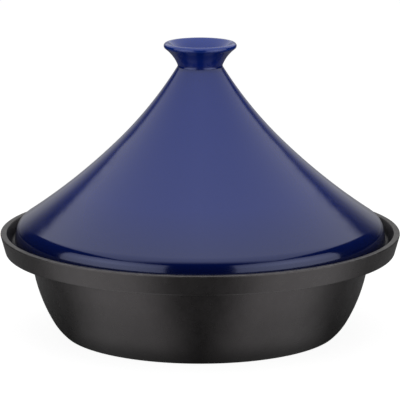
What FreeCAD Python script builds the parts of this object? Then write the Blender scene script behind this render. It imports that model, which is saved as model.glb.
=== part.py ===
import FreeCAD, Part
import math
import os

import Sketcher
from FreeCAD import Vector

# Tagine: a cast-iron dish with a gallery round its rim, in which a conical stoneware lid stands.
# All three pieces are turned about the Z axis. The origin is the centre of the foot, where the dish stands.

SIZES = (
    # The lid's cone: two tangent sweeps from the neck down to the shoulder
    ("lid_diameter", 292.5, "across the shoulder, before it is rounded"),
    ("lid_height", 142.6, "from the foot edge up to the flat crown under the knob"),
    ("lid_wall", 7.0, "thickness of the cone"),
    ("crown_thickness", 8.0, "thickness of the flat crown"),
    ("neck_diameter", 36.4, "crown, and the knob's foot on it"),
    ("neck_angle", 58.3, "degrees below horizontal, where the cone leaves the neck"),
    ("neck_guide", 39.2, "tangent length of the upper sweep"),
    ("skirt_angle", 33.6, "degrees below horizontal, where the cone meets the edge"),
    ("edge_height", 16.8, "foot edge, from the gallery up to the cone before rounding"),
    ("edge_width", 9.0, "foot edge, across the face that it stands on"),
    ("edge_flare", 10.0, "degrees that the foot edge spreads towards the gallery"),
    ("shoulder_rounding", 12.0, "where the cone turns down into the edge"),
    ("edge_rounding", 2.0, "outer corner of the foot edge"),
    ("edge_inner_rounding", 2.0, "inner corner of the foot edge"),
    ("hollow_rounding", 6.0, "inner corners of the lid"),
    # The knob: a flared cup with a bead round its lip
    ("knob_diameter", 58.0, "across the lip"),
    ("knob_height", 19.1, "from the crown to the top of the lip"),
    ("neck_fillet", 2.0, "hollow round in which the knob's foot runs down to the cone"),
    ("flare_angle", 68.0, "degrees above horizontal, where the flare leaves that round"),
    ("bead_radius", 2.4, "round of the lip; the cup's wall is twice as thick"),
    ("cup_depth", 9.0, "from the top of the lip to the cup's floor"),
    ("cup_rounding", 5.0, "where the cup's floor meets its wall"),
    # The dish: foot, bowl, flange, gallery and rim
    ("bowl_depth", 65.7, "from the gallery floor to the bowl's floor"),
    ("dish_wall", 4.8, "thickness of the bowl's side"),
    ("floor_thickness", 4.5, "bowl's floor, over the hollow inside the foot ring"),
    ("foot_recess", 1.5, "hollow inside the foot ring"),
    ("foot_width", 12.0, "foot ring, across the face that it stands on"),
    ("foot_inset", 25.7, "from the bowl's mouth in to the foot"),
    ("foot_angle", 41.2, "degrees above horizontal, where the side leaves the foot"),
    ("foot_guide", 7.2, "tangent length of the lower sweep"),
    ("mouth_angle", 85.6, "degrees above horizontal, where the side meets the flange"),
    ("ledge_width", 19.95, "gallery floor, from its outer wall in to the bowl"),
    ("flange_thickness", 6.5, "flange under the gallery floor"),
    ("gallery_depth", 9.7, "from the top of the rim down to the gallery floor"),
    ("seat_clearance", 1.75, "between the lid's foot edge and the foot of the gallery wall"),
    ("gallery_draft", 24.0, "degrees that the gallery wall leans outwards"),
    ("rim_draft", 15.2, "degrees that the outside of the rim leans outwards"),
    ("lip_width", 5.0, "flat top of the rim"),
    ("lip_rounding", 1.0, "both edges of the lip"),
    ("rim_rounding", 1.8, "lower edge of the rim"),
    ("flange_fillet", 6.0, "where the bowl meets the flange"),
    ("gallery_fillet", 4.0, "foot of the gallery wall"),
    ("mouth_rounding", 3.0, "inner edge of the gallery floor"),
    ("bowl_fillet", 15.0, "where the bowl's floor meets its side"),
    ("foot_rounding", 1.0, "outer edge of the foot"),
)

doc = FreeCAD.newDocument("Tagine")
sheet = doc.addObject("Spreadsheet::Sheet", "Sizes")
for row, (alias, value, note) in enumerate(SIZES, start=1):
    sheet.set(f"A{row}", alias)
    sheet.set(f"B{row}", str(value))
    sheet.set(f"C{row}", note)
    sheet.setAlias(f"B{row}", alias)
doc.recompute()

# Heights above the foot, and radii, each worked out once from the sheet
BOWL_FLOOR = "(Sizes.foot_recess + Sizes.floor_thickness)"
GALLERY_FLOOR = f"({BOWL_FLOOR} + Sizes.bowl_depth)"
RIM_TOP = f"({GALLERY_FLOOR} + Sizes.gallery_depth)"
RIM_BOTTOM = f"({GALLERY_FLOOR} - Sizes.flange_thickness)"
CROWN = f"({GALLERY_FLOOR} + Sizes.lid_height)"
LID_RADIUS = "(Sizes.lid_diameter / 2)"
EDGE_RADIUS = f"({LID_RADIUS} + Sizes.edge_height * tan(Sizes.edge_flare * 1 deg))"
NECK_RADIUS = "(Sizes.neck_diameter / 2)"
GALLERY_RADIUS = f"({EDGE_RADIUS} + Sizes.seat_clearance)"
LIP_INNER_RADIUS = f"({GALLERY_RADIUS} + Sizes.gallery_depth * tan(Sizes.gallery_draft * 1 deg))"
RIM_RADIUS = f"({LIP_INNER_RADIUS} + Sizes.lip_width)"
RIM_HEIGHT = "(Sizes.gallery_depth + Sizes.flange_thickness)"
RIM_BOTTOM_RADIUS = f"({RIM_RADIUS} - {RIM_HEIGHT} * tan(Sizes.rim_draft * 1 deg))"
MOUTH_RADIUS = f"({GALLERY_RADIUS} - Sizes.ledge_width + Sizes.dish_wall)"
FOOT_RADIUS = f"({MOUTH_RADIUS} - Sizes.foot_inset)"

# How a sketch counts the points of a line or arc, and its own axes
START, END, CENTRE = range(1, 4)
UPRIGHT_AXIS, LEVEL_AXIS = range(-2, 0)
ORIGIN = (LEVEL_AXIS, START)
ZERO = "0"
SAME_PLACE = 0.01


def number(formula):
    """What a formula on the sheet comes to, for drawing a sketch before its dimensions are bound"""
    result = sheet.evalExpression(formula)
    return float(getattr(result, "Value", result))


def heading(angle):
    return Vector(math.cos(math.radians(angle)), math.sin(math.radians(angle)), 0)


class Section:
    """Half section of a turned piece, drawn on the XZ plane: x is the radius and y the height"""

    def __init__(self, body, name):
        self.body = body
        self.sketch = body.newObject("Sketcher::SketchObject", name)
        plane = next(feature for feature in body.Origin.OriginFeatures if feature.Role == "XZ_Plane")
        self.sketch.AttachmentSupport = [(plane, "")]
        self.sketch.MapMode = "FlatFace"
        self.corners = {}

    def bind(self, kind, places, formula, unit="mm"):
        """A named dimension that follows the sheet"""
        value = number(formula)
        if unit == "deg":
            value = math.radians(value)
        index = self.sketch.addConstraint(Sketcher.Constraint(kind, *places, value))
        name = f"size{index}"
        self.sketch.renameConstraint(index, name)
        self.sketch.setExpression(f"Constraints.{name}", f"({formula}) * 1 {unit}")

    def tie(self, kind, *places):
        self.sketch.addConstraint(Sketcher.Constraint(kind, *places))

    def place(self, radius, height):
        return Vector(number(radius), number(height), 0)

    def line(self, start, end, guide=False):
        return self.sketch.addGeometry(Part.LineSegment(start, end), guide)

    def arc(self, centre, start, end):
        """Anticlockwise from start to end"""
        first = math.atan2(start.y - centre.y, start.x - centre.x)
        last = math.atan2(end.y - centre.y, end.x - centre.x)
        if last < first:
            last += 2 * math.pi
        circle = Part.Circle(centre, Vector(0, 0, 1), (start - centre).Length)
        return self.sketch.addGeometry(Part.ArcOfCircle(circle, first, last), False)

    def level(self, corner, point, height):
        """Holds a corner at its height, and names it"""
        self.corners[corner] = point
        if height == ZERO:
            self.tie("PointOnObject", *point, LEVEL_AXIS)
        else:
            self.bind("DistanceY", (*ORIGIN, *point), height)

    def pin(self, corner, point, radius, height):
        """Holds a corner at its radius and height, and names it"""
        self.level(corner, point, height)
        if radius == ZERO:
            self.tie("PointOnObject", *point, UPRIGHT_AXIS)
        else:
            self.bind("DistanceX", (*ORIGIN, *point), radius)

    def join(self, *points):
        """Joins the ends of lines and arcs, two by two"""
        for first, second in zip(points[0::2], points[1::2]):
            self.tie("Coincident", *first, *second)

    def sweep(self, start, start_angle, end, end_angle, guide):
        """Two tangent arcs between two points with given headings, drawn along three straight guides"""
        first, last = heading(number(start_angle)), heading(number(end_angle))
        leg = number(guide)
        near = start + first * leg
        across = end - near
        far_leg = (across.dot(across) - leg * leg) / (2 * (leg + last.dot(across)))
        far = end - last * far_leg
        along = (far - near).normalize()
        joint = near + along * leg
        lower = self.arc(*self.tangent_arc(start, first, joint))
        upper = self.arc(*self.tangent_arc(joint, along, end))
        guides = (self.line(start, near, True), self.line(near, far, True), self.line(far, end, True))
        self.tie("Tangent", guides[0], START, lower, START)
        self.tie("Tangent", lower, END, upper, START)
        self.tie("Tangent", lower, END, guides[1])
        self.tie("Tangent", guides[2], END, upper, END)
        self.join((guides[0], END), (guides[1], START), (guides[1], END), (guides[2], START))
        self.bind("Angle", (guides[0],), start_angle, "deg")
        self.bind("Angle", (guides[2],), end_angle, "deg")
        self.bind("Distance", (guides[0],), guide)
        return lower, upper

    def tangent_arc(self, start, along, end):
        """Centre and ends of the arc that leaves start on a heading, turns left and reaches end"""
        across = end - start
        left = Vector(-along.y, along.x, 0)
        radius = across.dot(across) / (2 * across.dot(left))
        return start + left * radius, start, end

    def parallel(self, arcs, wall, away):
        """The same two arcs one wall thickness nearer to their centres, or away from them"""
        copies = []
        for arc in arcs:
            curve = self.sketch.Geometry[arc]
            scale = (curve.Radius + number(wall) * (1 if away else -1)) / curve.Radius
            ends = [curve.Center + (end - curve.Center) * scale for end in (curve.StartPoint, curve.EndPoint)]
            copies.append(self.arc(curve.Center, *ends))
            self.tie("Coincident", copies[-1], CENTRE, arc, CENTRE)
        self.tie("Tangent", copies[0], END, copies[1], START)
        self.bind("Distance", (arcs[0], END, copies[0], END), wall)
        return copies

    def turn(self, name):
        """Solid of revolution about the axis"""
        doc.recompute()
        solid = self.body.newObject("PartDesign::Revolution", name)
        solid.Profile = self.sketch
        solid.ReferenceAxis = (self.sketch, ["V_Axis"])
        solid.Angle = 360
        doc.recompute()
        return solid

    def round(self, name, base, corners, size):
        """Rounds the circular edges that the named corners of the section turned into"""
        places = [self.sketch.getPoint(*self.corners[corner]) for corner in corners]
        rings = []
        for index, edge in enumerate(base.Shape.Edges, start=1):
            if not isinstance(edge.Curve, Part.Circle):
                continue
            for place in places:
                apart = abs(edge.Curve.Radius - place.x) + abs(edge.Curve.Center.z - place.y)
                if apart < SAME_PLACE:
                    rings.append(f"Edge{index}")
        if len(rings) != len(corners):
            raise RuntimeError(f"{name}: {len(rings)} edges for {len(corners)} corners")
        rounding = self.body.newObject("PartDesign::Fillet", name)
        rounding.Base = (base, rings)
        rounding.setExpression("Radius", f"Sizes.{size} * 1 mm")
        doc.recompute()
        return rounding


def make_body(label):
    body = doc.addObject("PartDesign::Body", label)
    body.Label = label
    body.Placement = FreeCAD.Placement()
    return body


def make_dish():
    foot_inner = f"({FOOT_RADIUS} - Sizes.foot_width)"
    body = make_body("base_dish")
    section = Section(body, "DishSection")
    place = section.place
    foot_edge = place(FOOT_RADIUS, ZERO)
    mouth = place(MOUTH_RADIUS, RIM_BOTTOM)
    side = section.sweep(foot_edge, "Sizes.foot_angle", mouth, "Sizes.mouth_angle", "Sizes.foot_guide")
    inside = section.parallel(side, "Sizes.dish_wall", away=False)
    recess_centre = place(ZERO, "Sizes.foot_recess")
    recess_edge = place(foot_inner, "Sizes.foot_recess")
    foot_start = place(foot_inner, ZERO)
    rim_bottom = place(RIM_BOTTOM_RADIUS, RIM_BOTTOM)
    rim_top = place(RIM_RADIUS, RIM_TOP)
    lip_inner = place(LIP_INNER_RADIUS, RIM_TOP)
    gallery_corner = place(GALLERY_RADIUS, GALLERY_FLOOR)
    ledge_edge = place(f"{MOUTH_RADIUS} - Sizes.dish_wall", GALLERY_FLOOR)
    floor_corner = place(FOOT_RADIUS, BOWL_FLOOR)
    floor_centre = place(ZERO, BOWL_FLOOR)
    recess = section.line(recess_centre, recess_edge)
    step = section.line(recess_edge, foot_start)
    foot = section.line(foot_start, foot_edge)
    underside = section.line(mouth, rim_bottom)
    band = section.line(rim_bottom, rim_top)
    lip = section.line(rim_top, lip_inner)
    gallery_wall = section.line(lip_inner, gallery_corner)
    ledge = section.line(gallery_corner, ledge_edge)
    floor = section.line(floor_corner, floor_centre)
    axis = section.line(floor_centre, recess_centre)
    section.join((recess, END), (step, START), (step, END), (foot, START), (foot, END), (side[0], START),
                 (side[1], END), (underside, START), (underside, END), (band, START),
                 (band, END), (lip, START), (lip, END), (gallery_wall, START),
                 (gallery_wall, END), (ledge, START), (ledge, END), (inside[1], END),
                 (inside[0], START), (floor, START), (floor, END), (axis, START),
                 (axis, END), (recess, START))
    section.pin("recess centre", (recess, START), ZERO, "Sizes.foot_recess")
    section.pin("recess edge", (recess, END), foot_inner, "Sizes.foot_recess")
    section.pin("foot inner", (foot, START), foot_inner, ZERO)
    section.pin("foot", (foot, END), FOOT_RADIUS, ZERO)
    section.pin("mouth", (underside, START), MOUTH_RADIUS, RIM_BOTTOM)
    section.pin("rim bottom", (band, START), RIM_BOTTOM_RADIUS, RIM_BOTTOM)
    section.pin("rim top", (lip, START), RIM_RADIUS, RIM_TOP)
    section.pin("lip inner", (lip, END), LIP_INNER_RADIUS, RIM_TOP)
    section.pin("gallery corner", (ledge, START), GALLERY_RADIUS, GALLERY_FLOOR)
    section.level("ledge edge", (ledge, END), GALLERY_FLOOR)
    section.level("floor corner", (floor, START), BOWL_FLOOR)
    section.pin("floor centre", (floor, END), ZERO, BOWL_FLOOR)
    solid = section.turn("DishTurned")
    solid = section.round("BowlFillet", solid, ("floor corner",), "bowl_fillet")
    solid = section.round("FlangeFillet", solid, ("mouth",), "flange_fillet")
    solid = section.round("GalleryFillet", solid, ("gallery corner",), "gallery_fillet")
    solid = section.round("MouthRounding", solid, ("ledge edge",), "mouth_rounding")
    solid = section.round("LipRounding", solid, ("rim top", "lip inner"), "lip_rounding")
    solid = section.round("RimRounding", solid, ("rim bottom",), "rim_rounding")
    section.round("FootRounding", solid, ("foot",), "foot_rounding")
    return body


def make_lid():
    edge_top = f"({GALLERY_FLOOR} + Sizes.edge_height)"
    skirt_radius = f"({EDGE_RADIUS} - Sizes.edge_width)"
    ceiling_height = f"({CROWN} - Sizes.crown_thickness)"
    body = make_body("lid_cone")
    section = Section(body, "LidSection")
    place = section.place
    neck = place(NECK_RADIUS, CROWN)
    shoulder = place(LID_RADIUS, edge_top)
    cone = section.sweep(neck, "-Sizes.neck_angle", shoulder, "-Sizes.skirt_angle", "Sizes.neck_guide")
    hollow = section.parallel(cone, "Sizes.lid_wall", away=True)
    crown_centre = place(ZERO, CROWN)
    edge_corner = place(EDGE_RADIUS, GALLERY_FLOOR)
    seat_inner = place(skirt_radius, GALLERY_FLOOR)
    skirt_top = place(skirt_radius, f"{edge_top} - Sizes.lid_wall")
    ceiling_corner = place(f"{NECK_RADIUS} - Sizes.lid_wall", ceiling_height)
    ceiling_centre = place(ZERO, ceiling_height)
    crown = section.line(crown_centre, neck)
    edge = section.line(shoulder, edge_corner)
    seat = section.line(edge_corner, seat_inner)
    skirt = section.line(seat_inner, skirt_top)
    ceiling = section.line(ceiling_corner, ceiling_centre)
    axis = section.line(ceiling_centre, crown_centre)
    section.join((crown, END), (cone[0], START), (cone[1], END), (edge, START), (edge, END), (seat, START),
                 (seat, END), (skirt, START), (skirt, END), (hollow[1], END),
                 (hollow[0], START), (ceiling, START), (ceiling, END), (axis, START),
                 (axis, END), (crown, START))
    section.pin("crown centre", (crown, START), ZERO, CROWN)
    section.pin("neck", (crown, END), NECK_RADIUS, CROWN)
    section.pin("shoulder", (edge, START), LID_RADIUS, edge_top)
    section.pin("edge corner", (seat, START), EDGE_RADIUS, GALLERY_FLOOR)
    section.pin("seat inner", (seat, END), skirt_radius, GALLERY_FLOOR)
    section.tie("Vertical", skirt)
    section.corners["skirt top"] = (skirt, END)
    section.level("ceiling corner", (ceiling, START), ceiling_height)
    section.pin("ceiling centre", (ceiling, END), ZERO, ceiling_height)
    solid = section.turn("LidTurned")
    solid = section.round("HollowRounding", solid, ("skirt top", "ceiling corner"), "hollow_rounding")
    solid = section.round("ShoulderRounding", solid, ("shoulder",), "shoulder_rounding")
    solid = section.round("EdgeRounding", solid, ("edge corner",), "edge_rounding")
    section.round("EdgeInnerRounding", solid, ("seat inner",), "edge_inner_rounding")
    return body


def make_knob():
    top = f"({CROWN} + Sizes.knob_height)"
    cup_floor = f"({top} - Sizes.cup_depth)"
    bead_centre_radius = "(Sizes.knob_diameter / 2 - Sizes.bead_radius)"
    bead_centre_height = f"({top} - Sizes.bead_radius)"
    body = make_body("lid_knob")
    section = Section(body, "KnobSection")
    place = section.place
    foot_centre = place(ZERO, CROWN)
    neck = place(NECK_RADIUS, CROWN)
    bead_centre = place(bead_centre_radius, bead_centre_height)
    bead_radius = number("Sizes.bead_radius")
    fillet_radius = number("Sizes.neck_fillet")
    # The foot's round starts along the cone's slope, and the flare runs from it out into the bead
    off_cone = heading(number("90 - Sizes.neck_angle"))
    outwards = heading(number("Sizes.flare_angle - 90"))
    fillet_centre = neck + off_cone * fillet_radius
    throat = fillet_centre - outwards * fillet_radius
    across = throat - bead_centre
    flare_radius = (across.dot(across) - bead_radius ** 2) / (2 * (bead_radius - outwards.dot(across)))
    flare_centre = throat + outwards * flare_radius
    through_bead = (bead_centre - flare_centre).normalize()
    bead_start = bead_centre - through_bead * bead_radius
    bead_end = bead_centre + through_bead * bead_radius
    cup_radius = flare_radius + 2 * bead_radius
    cup_rise = number(cup_floor) - flare_centre.y
    cup_corner = flare_centre + Vector(-math.sqrt(cup_radius ** 2 - cup_rise ** 2), cup_rise, 0)
    foot = section.line(foot_centre, neck)
    fillet = section.arc(fillet_centre, throat, neck)
    flare = section.arc(flare_centre, bead_start, throat)
    bead = section.arc(bead_centre, bead_start, bead_end)
    cup = section.arc(flare_centre, bead_end, cup_corner)
    floor = section.line(cup_corner, place(ZERO, cup_floor))
    axis = section.line(place(ZERO, cup_floor), foot_centre)
    cone_guide = section.line(neck, fillet_centre, guide=True)
    flare_guide = section.line(throat, flare_centre, guide=True)
    section.tie("Tangent", fillet, START, flare, END)
    section.tie("Tangent", flare, START, bead, START)
    section.tie("Tangent", bead, END, cup, START)
    section.join((foot, END), (fillet, END), (cup, END), (floor, START), (floor, END), (axis, START),
                 (axis, END), (foot, START), (cup, CENTRE), (flare, CENTRE),
                 (cone_guide, START), (fillet, END), (cone_guide, END), (fillet, CENTRE),
                 (flare_guide, START), (flare, END), (flare_guide, END), (flare, CENTRE))
    section.pin("foot centre", (foot, START), ZERO, CROWN)
    section.pin("neck", (foot, END), NECK_RADIUS, CROWN)
    section.pin("bead centre", (bead, CENTRE), bead_centre_radius, bead_centre_height)
    section.bind("Radius", (bead,), "Sizes.bead_radius")
    section.bind("Radius", (fillet,), "Sizes.neck_fillet")
    section.bind("Angle", (cone_guide,), "90 - Sizes.neck_angle", "deg")
    section.bind("Angle", (flare_guide,), "Sizes.flare_angle - 90", "deg")
    section.level("cup corner", (floor, START), cup_floor)
    section.pin("cup centre", (floor, END), ZERO, cup_floor)
    solid = section.turn("KnobTurned")
    section.round("CupRounding", solid, ("cup corner",), "cup_rounding")
    return body


pieces = [make_dish(), make_lid(), make_knob()]
doc.recompute()

for item in doc.Objects:
    if "Invalid" in item.State or "Error" in item.State:
        raise RuntimeError(f"{item.Name} failed: {item.State}")
for sketch in doc.findObjects("Sketcher::SketchObject"):
    if sketch.solve() != 0 or not sketch.FullyConstrained:
        raise RuntimeError(f"{sketch.Name} is not fully constrained")
for piece in pieces:
    if piece.Shape.isNull() or not piece.Shape.isValid() or len(piece.Shape.Solids) != 1:
        raise RuntimeError(f"{piece.Label} has no valid solid")

os.makedirs("parts", exist_ok=True)
for piece in pieces:
    piece.Shape.exportStep(f"parts/{piece.Label}.step")
    box = piece.Shape.optimalBoundingBox()
    print(f"{piece.Label}: {box.XLength:.2f} x {box.YLength:.2f} x {box.ZLength:.2f} mm,"
          f" z {box.ZMin:.2f} to {box.ZMax:.2f}, {piece.Shape.Volume / 1000:.1f} cm3")
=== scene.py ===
import math

import bmesh
import bpy
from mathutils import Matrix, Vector


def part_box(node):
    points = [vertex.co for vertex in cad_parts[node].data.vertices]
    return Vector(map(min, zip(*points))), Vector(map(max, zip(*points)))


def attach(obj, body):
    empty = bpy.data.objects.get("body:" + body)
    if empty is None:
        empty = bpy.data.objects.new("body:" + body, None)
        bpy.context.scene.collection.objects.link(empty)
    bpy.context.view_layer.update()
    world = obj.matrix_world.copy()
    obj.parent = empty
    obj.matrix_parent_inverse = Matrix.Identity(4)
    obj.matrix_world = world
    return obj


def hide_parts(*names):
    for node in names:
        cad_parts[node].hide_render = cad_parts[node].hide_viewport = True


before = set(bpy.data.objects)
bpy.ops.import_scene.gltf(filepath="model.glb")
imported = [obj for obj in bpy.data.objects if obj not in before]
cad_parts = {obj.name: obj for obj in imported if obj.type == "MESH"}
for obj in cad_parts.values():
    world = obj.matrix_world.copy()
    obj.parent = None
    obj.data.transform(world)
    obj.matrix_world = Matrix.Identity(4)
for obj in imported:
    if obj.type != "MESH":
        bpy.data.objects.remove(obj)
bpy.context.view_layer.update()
scene = bpy.context.scene
scene.view_settings.view_transform = "Standard"

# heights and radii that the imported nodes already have
dishLow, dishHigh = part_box("base_dish")
lidLow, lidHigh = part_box("lid_cone")
knobLow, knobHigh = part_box("lid_knob")
galleryFloor = lidLow.z
crown = lidHigh.z


# outlines are chains of runs: run(t) gives the point (radius, height) and the heading at t, solid on the left

drawing = {
    "searched": (-0.5, 1.5), "halvings": 50,  # values of t, also a little past both ends
    "newtonSteps": 30, "newtonReach": 1e-5,  # the reach is the step in t that a slope is taken over
    "leastSteps": 4, "roundSteps": 10, "lengthSteps": 8,  # along a run, along a round, to measure a run
    "samePoint": 2e-6, "weld": 1e-6,  # metres
    "stepsRound": 256,
}


def unit(angle):
    return Vector((math.cos(angle), math.sin(angle)))


def leftOf(angle):
    return Vector((-math.sin(angle), math.cos(angle)))


def straightRun(start, end):
    start, end = Vector(start), Vector(end)
    angle = math.atan2(end.y - start.y, end.x - start.x)
    return lambda t: (start.lerp(end, t), angle)


def arcRun(centre, radius, first, last):  # anticlockwise where last > first
    quarter = math.copysign(math.pi / 2, last - first)

    def run(t):
        angle = first + (last - first) * t
        return centre + unit(angle) * radius, angle + quarter
    return run


def sweptRun(start, startAngle, end, endAngle, guide):  # two tangent arcs, both turning left
    start, end = Vector(start), Vector(end)
    near = start + unit(startAngle) * guide
    across = end - near
    farGuide = (across.dot(across) - guide * guide) / (2 * (guide + unit(endAngle).dot(across)))
    far = end - unit(endAngle) * farGuide
    jointAngle = math.atan2(far.y - near.y, far.x - near.x)
    firstRadius = guide / math.tan((jointAngle - startAngle) / 2)
    lastRadius = farGuide / math.tan((endAngle - jointAngle) / 2)
    firstLength = firstRadius * (jointAngle - startAngle)
    length = firstLength + lastRadius * (endAngle - jointAngle)
    firstCentre = start + leftOf(startAngle) * firstRadius
    lastCentre = end + leftOf(endAngle) * lastRadius

    def run(t):
        if t * length < firstLength:
            angle = startAngle + t * length / firstRadius
            return firstCentre - leftOf(angle) * firstRadius, angle
        angle = endAngle - (1 - t) * length / lastRadius
        return lastCentre - leftOf(angle) * lastRadius, angle
    return run


def besideRun(run, distance):  # parallel to a run, to its left
    def beside(t):
        point, angle = run(t)
        return point + leftOf(angle) * distance, angle
    return beside


def partOf(run, first, last):  # from first to last, also backwards
    turned = math.pi if last < first else 0

    def part(t):
        point, angle = run(first + (last - first) * t)
        return point, angle + turned
    return part


def whereRun(run, axis, value):  # t at which the run has that radius (axis 0) or height (axis 1)
    low, high = drawing["searched"]
    rising = run(high)[0][axis] > run(low)[0][axis]
    for _ in range(drawing["halvings"]):
        middle = (low + high) / 2
        if (run(middle)[0][axis] < value) == rising:
            low = middle
        else:
            high = middle
    return low


def cornerArc(before, after, radius):  # where both runs are left and joined, and the round between them
    turn = math.remainder(after(0)[1] - before(1)[1], 2 * math.pi)
    reach = math.copysign(radius, turn)

    def centreOf(run, t):
        point, angle = run(t)
        return point + leftOf(angle) * reach

    left, joined, step = 1.0, 0.0, drawing["newtonReach"]
    for _ in range(drawing["newtonSteps"]):  # Newton's method on the two places
        gap = centreOf(before, left) - centreOf(after, joined)
        alongBefore = (centreOf(before, left + step) - centreOf(before, left)) / step
        alongAfter = (centreOf(after, joined + step) - centreOf(after, joined)) / step
        scale = alongBefore.y * alongAfter.x - alongBefore.x * alongAfter.y
        left += (gap.x * alongAfter.y - gap.y * alongAfter.x) / scale
        joined += (gap.x * alongBefore.y - gap.y * alongBefore.x) / scale
    first = before(left)[1] - math.copysign(math.pi / 2, turn)
    swing = math.remainder(after(joined)[1] - before(left)[1], 2 * math.pi)
    return left, joined, arcRun(centreOf(before, left), radius, first, first + swing), 1 / reach


def cornerLoss(radius, lean):  # how much narrower a round makes the corner of a level and a leaning face
    return radius * (math.tan(lean) + 1 / math.cos(lean) - 1)


def outline(runs, rounds, pitch):  # points and bends, with the rounds between the runs
    starts, ends = [0.0] * len(runs), [1.0] * len(runs)
    arcs = {}
    for place, radius in rounds.items():
        ends[place], starts[place + 1], *arcs[place] = cornerArc(runs[place], runs[place + 1], radius)
    points, bends = [], []

    def add(run, first, last, count, bend):
        for k in range(count + 1):
            t = first + (last - first) * (1 - math.cos(math.pi * k / count)) / 2  # closer at the ends
            point = run(t)[0]
            if not points or (point - points[-1]).length > drawing["samePoint"]:
                points.append(point)
                bends.append(bend)

    chords = drawing["lengthSteps"]
    for place, run in enumerate(runs):
        length = sum((run((k + 1) / chords)[0] - run(k / chords)[0]).length for k in range(chords))
        count = max(drawing["leastSteps"], math.ceil(length / pitch))
        add(run, starts[place], ends[place], count, 0.0)
        if place in arcs:
            arc, bend = arcs[place]
            add(arc, 0.0, 1.0, drawing["roundSteps"], bend)
    return points, bends


# a turned piece: the outline is sampled by a grid that is wound round the axis

def link(tree, source, target):
    tree.links.new(source, target)


def maths(tree, operation, *values):
    node = tree.nodes.new("ShaderNodeMath")
    node.operation = operation
    for value, socket in zip(values, node.inputs):
        if isinstance(value, (int, float)):
            socket.default_value = value
        else:
            link(tree, value, socket)
    return node.outputs[0]


def turningTree():
    tree = bpy.data.node_groups.new("turnedPiece", "GeometryNodeTree")
    face = tree.interface
    face.new_socket("Outline", in_out="INPUT", socket_type="NodeSocketGeometry")
    face.new_socket("Steps Round", in_out="INPUT", socket_type="NodeSocketInt")
    face.new_socket("Outline Points", in_out="INPUT", socket_type="NodeSocketInt")
    face.new_socket("Weld", in_out="INPUT", socket_type="NodeSocketFloat")
    face.new_socket("Finish", in_out="INPUT", socket_type="NodeSocketMaterial")
    face.new_socket("Piece", in_out="OUTPUT", socket_type="NodeSocketGeometry")
    new = tree.nodes.new

    given = new("NodeGroupInput").outputs
    steps, count = given["Steps Round"], given["Outline Points"]
    grid = new("GeometryNodeMeshGrid")
    grid.inputs["Size X"].default_value = 1
    grid.inputs["Size Y"].default_value = 1
    link(tree, maths(tree, "ADD", steps, 1), grid.inputs["Vertices X"])
    link(tree, count, grid.inputs["Vertices Y"])
    index = new("GeometryNodeInputIndex").outputs[0]
    place = maths(tree, "FLOORED_MODULO", index, count)
    step = maths(tree, "FLOOR", maths(tree, "DIVIDE", index, count))
    turn = maths(tree, "MULTIPLY", maths(tree, "DIVIDE", step, steps), 2 * math.pi)

    samplePoint = new("GeometryNodeSampleIndex")
    samplePoint.data_type = "FLOAT_VECTOR"
    link(tree, given["Outline"], samplePoint.inputs["Geometry"])
    link(tree, new("GeometryNodeInputPosition").outputs[0], samplePoint.inputs["Value"])
    link(tree, place, samplePoint.inputs["Index"])
    swing = new("ShaderNodeVectorRotate")
    swing.rotation_type = "Z_AXIS"
    link(tree, samplePoint.outputs["Value"], swing.inputs["Vector"])
    link(tree, turn, swing.inputs["Angle"])
    setPlace = new("GeometryNodeSetPosition")
    link(tree, grid.outputs["Mesh"], setPlace.inputs["Geometry"])
    link(tree, swing.outputs[0], setPlace.inputs["Position"])

    bend = new("GeometryNodeInputNamedAttribute")  # how tightly the outline turns, for the glaze that draws thin on sharp edges
    bend.data_type = "FLOAT"
    bend.inputs["Name"].default_value = "bend"
    sampleBend = new("GeometryNodeSampleIndex")
    sampleBend.data_type = "FLOAT"
    link(tree, given["Outline"], sampleBend.inputs["Geometry"])
    link(tree, bend.outputs["Attribute"], sampleBend.inputs["Value"])
    link(tree, place, sampleBend.inputs["Index"])
    store = new("GeometryNodeStoreNamedAttribute")
    store.data_type = "FLOAT"
    store.inputs["Name"].default_value = "bend"
    link(tree, setPlace.outputs[0], store.inputs["Geometry"])
    link(tree, sampleBend.outputs["Value"], store.inputs["Value"])

    weld = new("GeometryNodeMergeByDistance")
    link(tree, store.outputs[0], weld.inputs["Geometry"])
    link(tree, given["Weld"], weld.inputs["Distance"])
    smooth = new("GeometryNodeSetShadeSmooth")
    link(tree, weld.outputs[0], smooth.inputs["Geometry"])
    real = new("GeometryNodeRealizeInstances")
    link(tree, smooth.outputs[0], real.inputs[0])
    finish = new("GeometryNodeSetMaterial")
    link(tree, real.outputs[0], finish.inputs["Geometry"])
    link(tree, given["Finish"], finish.inputs["Material"])
    link(tree, finish.outputs[0], new("NodeGroupOutput").inputs["Piece"])
    return tree


turning = turningTree()


def turned(name, points, bends, finish):
    mesh = bpy.data.meshes.new(name + "Outline")
    mesh.from_pydata([(p.x, 0, p.y) for p in points], [(k, k + 1) for k in range(len(points) - 1)], [])
    attribute = mesh.attributes.new("bend", "FLOAT", "POINT")
    attribute.data.foreach_set("value", bends)
    drawn = bpy.data.objects.new(name + "Outline", mesh)
    scene.collection.objects.link(drawn)
    modifier = drawn.modifiers.new("turn", "NODES")
    modifier.node_group = turning
    values = {"Steps Round": drawing["stepsRound"], "Outline Points": len(points), "Weld": drawing["weld"],
              "Finish": finish}
    for item in turning.interface.items_tree:
        if item.in_out == "INPUT" and item.name in values:
            modifier[item.identifier] = values[item.name]
    depsgraph = bpy.context.evaluated_depsgraph_get()
    solid = bpy.data.meshes.new_from_object(drawn.evaluated_get(depsgraph))
    bpy.data.objects.remove(drawn)
    work = bmesh.new()
    work.from_mesh(solid)
    bmesh.ops.recalc_face_normals(work, faces=work.faces)
    work.to_mesh(solid)
    work.free()
    solid.name = name
    piece = bpy.data.objects.new(name, solid)
    scene.collection.objects.link(piece)
    print(name, len(solid.vertices), "points,", len(solid.polygons), "faces")
    return piece


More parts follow.
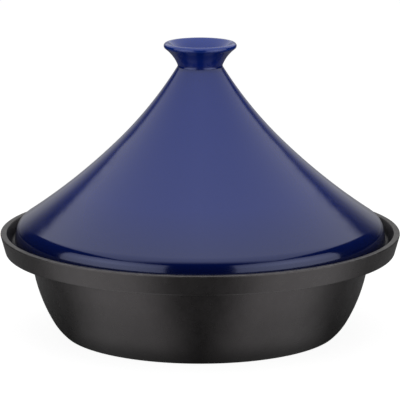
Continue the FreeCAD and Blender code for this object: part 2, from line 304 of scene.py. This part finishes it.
# finishes

wideNoise = (0.3, 0.7)  # between these lie nearly all values of a noise
midNoise = (0.35, 0.65)  # and between these most of them


def newFinish(name):
    finish = bpy.data.materials.new(name)
    finish.use_nodes = True
    tree = finish.node_tree
    return finish, tree, tree.nodes["Principled BSDF"]


def objectPlace(tree):
    return tree.nodes.new("ShaderNodeTexCoord").outputs["Object"]


def noise(tree, place, scale, detail=3.0, rough=0.5):
    node = tree.nodes.new("ShaderNodeTexNoise")
    node.inputs["Scale"].default_value = scale
    node.inputs["Detail"].default_value = detail
    node.inputs["Roughness"].default_value = rough
    link(tree, place, node.inputs["Vector"])
    return node.outputs["Fac"]


def ranged(tree, value, fromLow, fromHigh, toLow, toHigh, smooth=False):
    node = tree.nodes.new("ShaderNodeMapRange")
    node.interpolation_type = "SMOOTHSTEP" if smooth else "LINEAR"
    numbers = {"From Min": fromLow, "From Max": fromHigh, "To Min": toLow, "To Max": toHigh}
    for socket, number in numbers.items():
        node.inputs[socket].default_value = number
    link(tree, value, node.inputs["Value"])
    return node.outputs[0]


def farFrom(tree, place, centre):
    node = tree.nodes.new("ShaderNodeVectorMath")
    node.operation = "DISTANCE"
    node.inputs[1].default_value = centre
    link(tree, place, node.inputs[0])
    return node.outputs["Value"]


def mixed(tree, share, first, second):
    node = tree.nodes.new("ShaderNodeMix")
    node.data_type = "RGBA"
    link(tree, share, node.inputs["Factor"])
    for socket, value in zip(node.inputs[6:8], (first, second)):  # its two colours
        if isinstance(value, tuple):
            socket.default_value = (*value, 1)
        else:
            link(tree, value, socket)
    return node.outputs[2]


def bumped(tree, place, relief, under=None):
    node = tree.nodes.new("ShaderNodeBump")
    node.inputs["Strength"].default_value = relief["strength"]
    node.inputs["Distance"].default_value = relief["distance"]
    link(tree, noise(tree, place, *relief["noise"]), node.inputs["Height"])
    if under is not None:
        link(tree, under, node.inputs["Normal"])
    return node.outputs[0]


def partsOf(tree, place):
    split = tree.nodes.new("ShaderNodeSeparateXYZ")
    link(tree, place, split.inputs[0])
    return split.outputs


def bendOf(tree):
    node = tree.nodes.new("ShaderNodeAttribute")
    node.attribute_name = "bend"
    return node.outputs["Fac"]


glazeLook = {  # height in metres, and the colour given there: the glaze's own, with painted shade and painted light mixed in
    "glazeAndShadeColours": (
        (0.0780, (0.0004, 0.0028, 0.034)),  # deep along the edge: glaze gathers there, and painted shade on the shoulder, which faces the unlit front
        (0.0920, (0.0006, 0.0053, 0.063)),
        (0.1200, (0.0010, 0.0096, 0.114)),
        (0.2115, (0.0010, 0.0098, 0.119)),
        (0.2143, (0.0006, 0.0056, 0.074)),  # and darker in the crease under the knob, as painted shade
        (0.2175, (0.0012, 0.0118, 0.151)),
        (0.2310, (0.0033, 0.0190, 0.160)),  # lighter on the knob's lip: thin glaze, and painted light
    ),
    "drift": (-0.006, 0.006), "driftNoise": (14, 3),  # how unevenly they run, as a share of the whole height
    "thin": (0.0060, 0.0320, 0.220),  # where it draws off a sharp edge
    "thinFrom": (150, 600), "thinShare": 0.6,  # bends, one over the radius of a round in metres
    "speck": (0.0006, 0.0030, 0.030), "speckNoise": (1100, 1),
    "speckFrom": (0.66, 0.74), "speckShare": 0.35,
    "roughness": (0.09, 0.15), "roughnessNoise": (60, 3), "ior": 1.67,
    "tint": (0.59, 0.65, 1),  # light that comes back through the blue glass
    "clay": (0.40, 0.30, 0.21), "clayDark": (0.28, 0.20, 0.13), "clayNoise": (500, 4, 0.7),
    "clayRoughness": 0.75,
    "glazeLine": 0.0727,  # the seat under this height was wiped bare before firing
    "wander": 0.0008, "wanderNoise": (90, 2),
    "waves": {"noise": (45, 2), "strength": 0.05, "distance": 0.002},
    "pinholes": {"noise": (700, 2), "strength": 0.03, "distance": 0.0003},
}


def blueGlaze():
    finish, tree, shader = newFinish("cobaltGlaze")
    place = objectPlace(tree)
    height = partsOf(tree, place)["Z"]
    # the colour follows height: glaze that runs thin above and gathers low, with painted shade low on the
    # shoulder and painted light up the cone and knob
    glazeAndShadeColours = glazeLook["glazeAndShadeColours"]
    low, high = glazeAndShadeColours[0][0], glazeAndShadeColours[-1][0]
    runs = tree.nodes.new("ShaderNodeValToRGB")
    ramp = runs.color_ramp
    for stop, _ in glazeAndShadeColours[1:-1]:
        ramp.elements.new((stop - low) / (high - low))
    for element, (_, colour) in zip(ramp.elements, glazeAndShadeColours):
        element.color = (*colour, 1)
    drift = ranged(tree, noise(tree, place, *glazeLook["driftNoise"]), *wideNoise, *glazeLook["drift"])
    link(tree, maths(tree, "ADD", ranged(tree, height, low, high, 0, 1), drift), runs.inputs["Fac"])
    edges = ranged(tree, bendOf(tree), *glazeLook["thinFrom"], 0, glazeLook["thinShare"], True)
    colour = mixed(tree, edges, runs.outputs["Color"], glazeLook["thin"])
    specks = ranged(tree, noise(tree, place, *glazeLook["speckNoise"]), *glazeLook["speckFrom"],
                    0, glazeLook["speckShare"], True)
    colour = mixed(tree, specks, colour, glazeLook["speck"])
    grain = ranged(tree, noise(tree, place, *glazeLook["clayNoise"]), *midNoise, 0, 1)
    clay = mixed(tree, grain, glazeLook["clay"], glazeLook["clayDark"])
    line = ranged(tree, noise(tree, place, *glazeLook["wanderNoise"]), *wideNoise,
                  -glazeLook["wander"], glazeLook["wander"])
    bare = maths(tree, "LESS_THAN", maths(tree, "ADD", height, line), glazeLook["glazeLine"])
    link(tree, mixed(tree, bare, colour, clay), shader.inputs["Base Color"])
    gloss = ranged(tree, noise(tree, place, *glazeLook["roughnessNoise"]),
                   *wideNoise, *glazeLook["roughness"])
    link(tree, maths(tree, "MAXIMUM", gloss, maths(tree, "MULTIPLY", bare, glazeLook["clayRoughness"])),
         shader.inputs["Roughness"])
    shader.inputs["IOR"].default_value = glazeLook["ior"]
    shader.inputs["Specular Tint"].default_value = (*glazeLook["tint"], 1)
    waves = bumped(tree, place, glazeLook["waves"])
    link(tree, bumped(tree, place, glazeLook["pinholes"], waves), shader.inputs["Normal"])
    return finish


ironLook = {
    "dark": (0.0085, 0.0080, 0.0082), "light": (0.0140, 0.0133, 0.0136), "shadeNoise": (90, 5),
    "wornWithHighlight": (0.058, 0.0565, 0.057), "wornWithHighlightFrom": (0.0796, 0.0808),  # along the lip, by height in metres: rubbed bare, and a painted highlight line
    "ground": (0.055, 0.053, 0.052), "groundTo": 0.0006,  # bare metal on the face that it stands on
    "rubbed": (0.25, 0.75), "rubbedNoise": (130, 4),  # how patchily both were rubbed; it also breaks up the lip's painted highlight
    "roughness": (0.26, 0.36), "roughnessNoise": (250, 4), "ior": 1.59, "tint": (1, 0.93, 0.95),
    "skin": {"noise": (130, 3), "strength": 0.10, "distance": 0.0012},  # from the sand mould
    "grain": {"noise": (900, 4, 0.6), "strength": 0.12, "distance": 0.0004},
}


def blackIron():
    finish, tree, shader = newFinish("seasonedIron")
    place = objectPlace(tree)
    shade = ranged(tree, noise(tree, place, *ironLook["shadeNoise"]), *midNoise, 0, 1, True)
    colour = mixed(tree, shade, ironLook["dark"], ironLook["light"])
    rubbed = ranged(tree, noise(tree, place, *ironLook["rubbedNoise"]), *midNoise, *ironLook["rubbed"])
    height = partsOf(tree, place)["Z"]
    # the lip: worn metal with a painted highlight line along it
    lip = maths(tree, "MULTIPLY", ranged(tree, height, *ironLook["wornWithHighlightFrom"], 0, 1, True), rubbed)
    colour = mixed(tree, lip, colour, ironLook["wornWithHighlight"])
    ground = maths(tree, "LESS_THAN", height, ironLook["groundTo"])
    link(tree, mixed(tree, maths(tree, "MULTIPLY", ground, rubbed), colour, ironLook["ground"]),
         shader.inputs["Base Color"])
    gloss = ranged(tree, noise(tree, place, *ironLook["roughnessNoise"]),
                   *wideNoise, *ironLook["roughness"])
    link(tree, gloss, shader.inputs["Roughness"])
    shader.inputs["IOR"].default_value = ironLook["ior"]
    shader.inputs["Specular Tint"].default_value = (*ironLook["tint"], 1)
    skin = bumped(tree, place, ironLook["skin"])
    link(tree, bumped(tree, place, ironLook["grain"], skin), shader.inputs["Normal"])
    return finish


glaze = blueGlaze()
iron = blackIron()
print("finishes made")


# the dish: bowl, flange, gallery and rim, in metres and degrees

dish = {
    "recess": 0.0015, "footWidth": 0.012, "floor": 0.0045, "wall": 0.0048,
    "footInset": 0.0257, "footAngle": 41.2, "footGuide": 0.0072, "mouthAngle": 85.6,
    "ledge": 0.01995, "flange": 0.0065, "galleryDraft": 24, "rimDraft": 15.2, "lip": 0.005,
    "rounds": {"foot": 0.001, "flange": 0.006, "rim": 0.0018, "lip": 0.001, "gallery": 0.004,
               "mouth": 0.003, "bowl": 0.015},
    "pitch": 0.004,  # longest step along the outline
}


def makeDish():
    rimTop = dishHigh.z
    rimBottom = galleryFloor - dish["flange"]
    rimDraft = math.radians(dish["rimDraft"])
    rim = dishHigh.x + cornerLoss(dish["rounds"]["lip"], rimDraft)
    lipInner = rim - dish["lip"]
    gallery = lipInner - (rimTop - galleryFloor) * math.tan(math.radians(dish["galleryDraft"]))
    mouth = gallery - dish["ledge"] + dish["wall"]
    foot = mouth - dish["footInset"]
    ring = foot - dish["footWidth"]
    floor = dish["recess"] + dish["floor"]
    side = sweptRun((foot, 0), math.radians(dish["footAngle"]), (mouth, rimBottom),
                    math.radians(dish["mouthAngle"]), dish["footGuide"])
    inside = besideRun(side, dish["wall"])
    inside = partOf(inside, whereRun(inside, 1, galleryFloor), whereRun(inside, 1, floor))
    rimLow = rim - (rimTop - rimBottom) * math.tan(rimDraft)
    runs = [
        straightRun((0, dish["recess"]), (ring, dish["recess"])),
        straightRun((ring, dish["recess"]), (ring, 0)),
        straightRun((ring, 0), (foot, 0)),
        side,
        straightRun((mouth, rimBottom), (rimLow, rimBottom)),
        straightRun((rimLow, rimBottom), (rim, rimTop)),
        straightRun((rim, rimTop), (lipInner, rimTop)),
        straightRun((lipInner, rimTop), (gallery, galleryFloor)),
        straightRun((gallery, galleryFloor), inside(0)[0]),
        inside,
        straightRun(inside(1)[0], (0, floor)),
    ]
    size = dish["rounds"]
    rounds = {2: size["foot"], 3: size["flange"], 4: size["rim"], 5: size["lip"], 6: size["lip"],
              7: size["gallery"], 8: size["mouth"], 9: size["bowl"]}
    return turned("dishIron", *outline(runs, rounds, dish["pitch"]), iron)


# the lid: two swept arcs outside, the same inside a wall's thickness away

lid = {
    "wall": 0.007, "crown": 0.008, "neck": 0.0182, "neckAngle": 58.3, "neckGuide": 0.0392,
    "skirtAngle": 33.6, "edgeHeight": 0.0168, "edgeWidth": 0.009, "edgeFlare": 10,
    "rounds": {"shoulder": 0.012, "edge": 0.002, "inner": 0.002, "hollow": 0.006},
    "pitch": 0.003,
}


def makeLid():
    flare = math.radians(lid["edgeFlare"])
    edge = lidHigh.x + cornerLoss(lid["rounds"]["edge"], flare)
    edgeTop = galleryFloor + lid["edgeHeight"]
    radius = edge - lid["edgeHeight"] * math.tan(flare)  # the shoulder's corner, before it is rounded
    skirt = edge - lid["edgeWidth"]
    ceiling = crown - lid["crown"]
    cone = sweptRun((lid["neck"], crown), -math.radians(lid["neckAngle"]), (radius, edgeTop),
                    -math.radians(lid["skirtAngle"]), lid["neckGuide"])
    hollow = besideRun(cone, -lid["wall"])
    hollow = partOf(hollow, whereRun(hollow, 1, ceiling), whereRun(hollow, 0, skirt))
    runs = [
        straightRun((0, ceiling), hollow(0)[0]),
        hollow,
        straightRun(hollow(1)[0], (skirt, galleryFloor)),
        straightRun((skirt, galleryFloor), (edge, galleryFloor)),
        straightRun((edge, galleryFloor), (radius, edgeTop)),
        partOf(cone, 1, 0),
        straightRun((lid["neck"], crown), (0, crown)),
    ]
    size = lid["rounds"]
    rounds = {0: size["hollow"], 1: size["hollow"], 2: size["inner"], 3: size["edge"], 4: size["shoulder"]}
    return turned("lidGlazed", *outline(runs, rounds, lid["pitch"]), glaze)


# the knob: a hollow round on the cone, a flare that runs out into a bead, and the cup inside it

knob = {
    "footRound": 0.002, "flareAngle": 68, "bead": 0.0024, "cup": 0.009, "cupRound": 0.005,
    "pitch": 0.0007,
}


def makeKnob():
    bead = knob["bead"]
    neck = Vector((lid["neck"], crown))
    beadCentre = Vector((knobHigh.x - bead, knobHigh.z - bead))
    coneTurn = math.radians(90 - lid["neckAngle"])
    throatTurn = math.radians(knob["flareAngle"] + 90)
    roundCentre = neck + unit(coneTurn) * knob["footRound"]
    throat = roundCentre + unit(throatTurn) * knob["footRound"]
    across = throat - beadCentre
    flare = (across.dot(across) - bead ** 2) / (2 * (bead + unit(throatTurn).dot(across)))
    flareCentre = throat - unit(throatTurn) * flare
    beadTurn = math.atan2(beadCentre.y - flareCentre.y, beadCentre.x - flareCentre.x)
    floor = knobHigh.z - knob["cup"]
    cup = flare + 2 * bead
    cupTurn = math.pi - math.asin((floor - flareCentre.y) / cup)
    wall = arcRun(flareCentre, cup, beadTurn, cupTurn)
    runs = [
        straightRun((0, crown), neck),
        arcRun(roundCentre, knob["footRound"], coneTurn + math.pi, throatTurn),
        arcRun(flareCentre, flare, throatTurn, beadTurn),
        arcRun(beadCentre, bead, beadTurn - math.pi, beadTurn),
        wall,
        straightRun(wall(1)[0], (0, floor)),
    ]
    return turned("knobGlazed", *outline(runs, {4: knob["cupRound"]}, knob["pitch"]), glaze)


for piece, body, node, slot in ((makeDish(), "base", "base_dish", "black_iron"),
                                (makeLid(), "lid", "lid_cone", "blue_glaze"),
                                (makeKnob(), "lid", "lid_knob", "blue_glaze")):
    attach(piece, body)
    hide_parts(node)


# studio: pale floor, white surroundings, softboxes and the camera

studio = {  # turns are degrees from straight in front, distances are metres from the pot's axis
    "floorSize": 16.0, "paper": (0.225, 0.225, 0.225), "paperRoughness": 0.9,
    "white": (0.915, 1.0), "whiteFrom": (0.5, 1.2),  # near the pot, where its shadow falls, and far off
    "poolFrom": (7.5, 32.5), "poolTo": (46, 81),  # turns between which a pool of light is painted on the floor, seen only in reflections
    "poolFromShift": (0.11, 0.22, 13, 0), "poolToShift": (0.11, 0.27, 13, -8),  # distances, then turns
    "poolRise": (0.134, 0.217, 0.64, 1.0),  # distances, then levels
    "poolShade": (0.109, 0.136, 0.15, 1.0),  # the same, for the painted shade under the pot
    "behind": 0.45, "behindFrom": (138, 168),  # a painted glow from behind, seen only in reflections, and its turns
    "behindRise": (0.5, 1.0, 0, 0.7),  # distances, then levels on the floor
    "behindFade": (0.17, 0.45),  # how steeply up it ends
    "worldLevel": 0.02,
}


def turnFrom(tree, place):
    parts = partsOf(tree, place)
    aside = maths(tree, "ABSOLUTE", parts["X"])
    forward = maths(tree, "MULTIPLY", parts["Y"], -1.0)
    return maths(tree, "DEGREES", maths(tree, "ARCTAN2", aside, forward))


def glowBehind(tree, turn):
    return ranged(tree, turn, *studio["behindFrom"], 0, studio["behind"], True)


def seenStraight(tree, ray):
    return maths(tree, "MAXIMUM", ray["Is Camera Ray"], ray["Is Transmission Ray"])


def paperFloor():
    finish, tree, shader = newFinish("palePaper")
    shader.inputs["Base Color"].default_value = (*studio["paper"], 1)
    shader.inputs["Roughness"].default_value = studio["paperRoughness"]
    shader.inputs["Specular IOR Level"].default_value = 0
    shader.inputs["Emission Color"].default_value = (1, 1, 1, 1)
    ray = tree.nodes.new("ShaderNodeLightPath").outputs
    place = objectPlace(tree)
    away = farFrom(tree, place, (0, 0, 0))
    turn = turnFrom(tree, place)
    # a pool of light and the pot's shade, painted on the floor and seen only in reflections
    fromTurn = maths(tree, "ADD", turn, ranged(tree, away, *studio["poolFromShift"]))
    toTurn = maths(tree, "ADD", turn, ranged(tree, away, *studio["poolToShift"]))
    pool = maths(tree, "MULTIPLY", ranged(tree, fromTurn, *studio["poolFrom"], 0, 1, True),
                 ranged(tree, toTurn, *studio["poolTo"], 1, 0, True))
    pool = maths(tree, "MULTIPLY", pool, ranged(tree, away, *studio["poolRise"]))
    pool = maths(tree, "MULTIPLY", pool, ranged(tree, away, *studio["poolShade"], True))
    behind = maths(tree, "MULTIPLY", glowBehind(tree, turn), ranged(tree, away, *studio["behindRise"], True))
    mirrored = maths(tree, "MAXIMUM", pool, behind)
    white = ranged(tree, away, *studio["whiteFrom"], *studio["white"], True)
    seen = maths(tree, "ADD", maths(tree, "MULTIPLY", seenStraight(tree, ray), white),
                 maths(tree, "MULTIPLY", ray["Is Glossy Ray"], mirrored))
    link(tree, seen, shader.inputs["Emission Strength"])
    half = studio["floorSize"] / 2
    mesh = bpy.data.meshes.new("floor")
    corners = [(-half, -half, 0), (half, -half, 0), (half, half, 0), (-half, half, 0)]
    mesh.from_pydata(corners, [], [(0, 1, 2, 3)])
    mesh.materials.append(finish)
    floor = bpy.data.objects.new("floor", mesh)
    scene.collection.objects.link(floor)


def surroundings():
    world = scene.world or bpy.data.worlds.new("studio")
    scene.world = world
    world.use_nodes = True
    tree = world.node_tree
    back = tree.nodes["Background"]
    back.inputs["Color"].default_value = (1, 1, 1, 1)
    ray = tree.nodes.new("ShaderNodeLightPath").outputs
    direction = objectPlace(tree)  # of the ray, in a world
    fade = ranged(tree, partsOf(tree, direction)["Z"], *studio["behindFade"], 1, 0)
    # the painted glow from behind, seen only in reflections
    behind = maths(tree, "MULTIPLY", glowBehind(tree, turnFrom(tree, direction)), fade)
    mirrored = maths(tree, "MULTIPLY", ray["Is Glossy Ray"], behind)
    mirrored = maths(tree, "MAXIMUM", mirrored, studio["worldLevel"])
    link(tree, maths(tree, "MAXIMUM", seenStraight(tree, ray), mirrored), back.inputs["Strength"])


softboxes = {  # the right one, and the left one mirrors it
    "place": (0.732, -0.514, 0.33), "target": (0.012, 0.016, 0.33), "size": (1.24, 0.66), "level": 2.2,
    "middle": (0.5, 0.5, 0), "edge": 0.5, "edgeAt": 0.55,  # on the panel, and the share left at its edge
}
overhead = {  # a panel that widens to the back, brightest a little in front of the pot
    "height": 0.40, "width": 1.1, "front": -0.47, "back": 0.75, "level": 1.46,
    "brightest": (0, -0.1, 0.40), "falls": (0.73, 0.56),  # metres, and the share that is left there
    "frontFade": (-0.47, -0.25), "backFade": (0.58, 0.75),
    "halfWidth": 0.40, "widens": 0.09, "sideFade": (-0.02, 0.01),
}


def lampObject(name, light, place, target):
    lamp = bpy.data.objects.new(name, light)
    lamp.location = place
    lamp.rotation_euler = (Vector(target) - Vector(place)).to_track_quat("-Z", "Y").to_euler()
    scene.collection.objects.link(lamp)


def areaLight(name, size, level):
    light = bpy.data.lights.new(name, "AREA")
    light.shape = "RECTANGLE"
    light.size, light.size_y = size
    light.energy = level * math.pi * size[0] * size[1]
    light.use_nodes = True
    return light, light.node_tree


def mirroredPlace(place, side):
    return side * place[0], place[1], place[2]


def softbox(name, side):
    light, tree = areaLight(name, softboxes["size"], softboxes["level"])
    panelPlace = tree.nodes.new("ShaderNodeNewGeometry").outputs["Parametric"]
    away = farFrom(tree, panelPlace, softboxes["middle"])
    shine = ranged(tree, away, 0, softboxes["edgeAt"], 1, softboxes["edge"])
    link(tree, shine, tree.nodes["Emission"].inputs["Strength"])
    place, target = (mirroredPlace(softboxes[end], side) for end in ("place", "target"))
    lampObject(name, light, place, target)


def overheadPanel():
    middle = (overhead["front"] + overhead["back"]) / 2
    size = (overhead["width"], overhead["back"] - overhead["front"])
    light, tree = areaLight("topLight", size, overhead["level"])
    place = tree.nodes.new("ShaderNodeNewGeometry").outputs["Position"]
    parts = partsOf(tree, place)
    across, along = parts["X"], parts["Y"]
    far, left = overhead["falls"]
    shine = ranged(tree, farFrom(tree, place, overhead["brightest"]), 0, far, 1, left)
    ends = overhead["front"], overhead["back"]
    halfWidths = (overhead["halfWidth"] + overhead["widens"] * end for end in ends)
    widened = ranged(tree, along, *ends, *halfWidths)
    beyond = maths(tree, "SUBTRACT", maths(tree, "ABSOLUTE", across), widened)
    for fade in (ranged(tree, beyond, *overhead["sideFade"], 1, 0, True),
                 ranged(tree, along, *overhead["frontFade"], 0, 1, True),
                 ranged(tree, along, *overhead["backFade"], 1, 0, True)):
        shine = maths(tree, "MULTIPLY", shine, fade)
    link(tree, shine, tree.nodes["Emission"].inputs["Strength"])
    lampObject("topLight", light, (0, middle, overhead["height"]), (0, middle, 0))


def makeLights():
    softbox("leftLight", -1)
    softbox("rightLight", 1)
    overheadPanel()


view = {  # metres and degrees, and millimetres for the lens
    "distance": 2.4, "elevation": 12.0, "lookAt": 0.10598,
    "lens": 269.75, "sensor": 36.0, "shift": -0.0004,
}


def makeCamera():
    data = bpy.data.cameras.new("camera")
    data.sensor_width = view["sensor"]
    data.lens = view["lens"]
    data.shift_x = view["shift"]
    camera = bpy.data.objects.new("camera", data)
    tilt = math.radians(view["elevation"])
    back, rise = view["distance"] * math.cos(tilt), view["distance"] * math.sin(tilt)
    camera.location = (0, -back, view["lookAt"] + rise)
    camera.rotation_euler = (math.pi / 2 - tilt, 0, 0)
    scene.collection.objects.link(camera)
    scene.camera = camera


paperFloor()
surroundings()
makeLights()
makeCamera()
print("studio made")
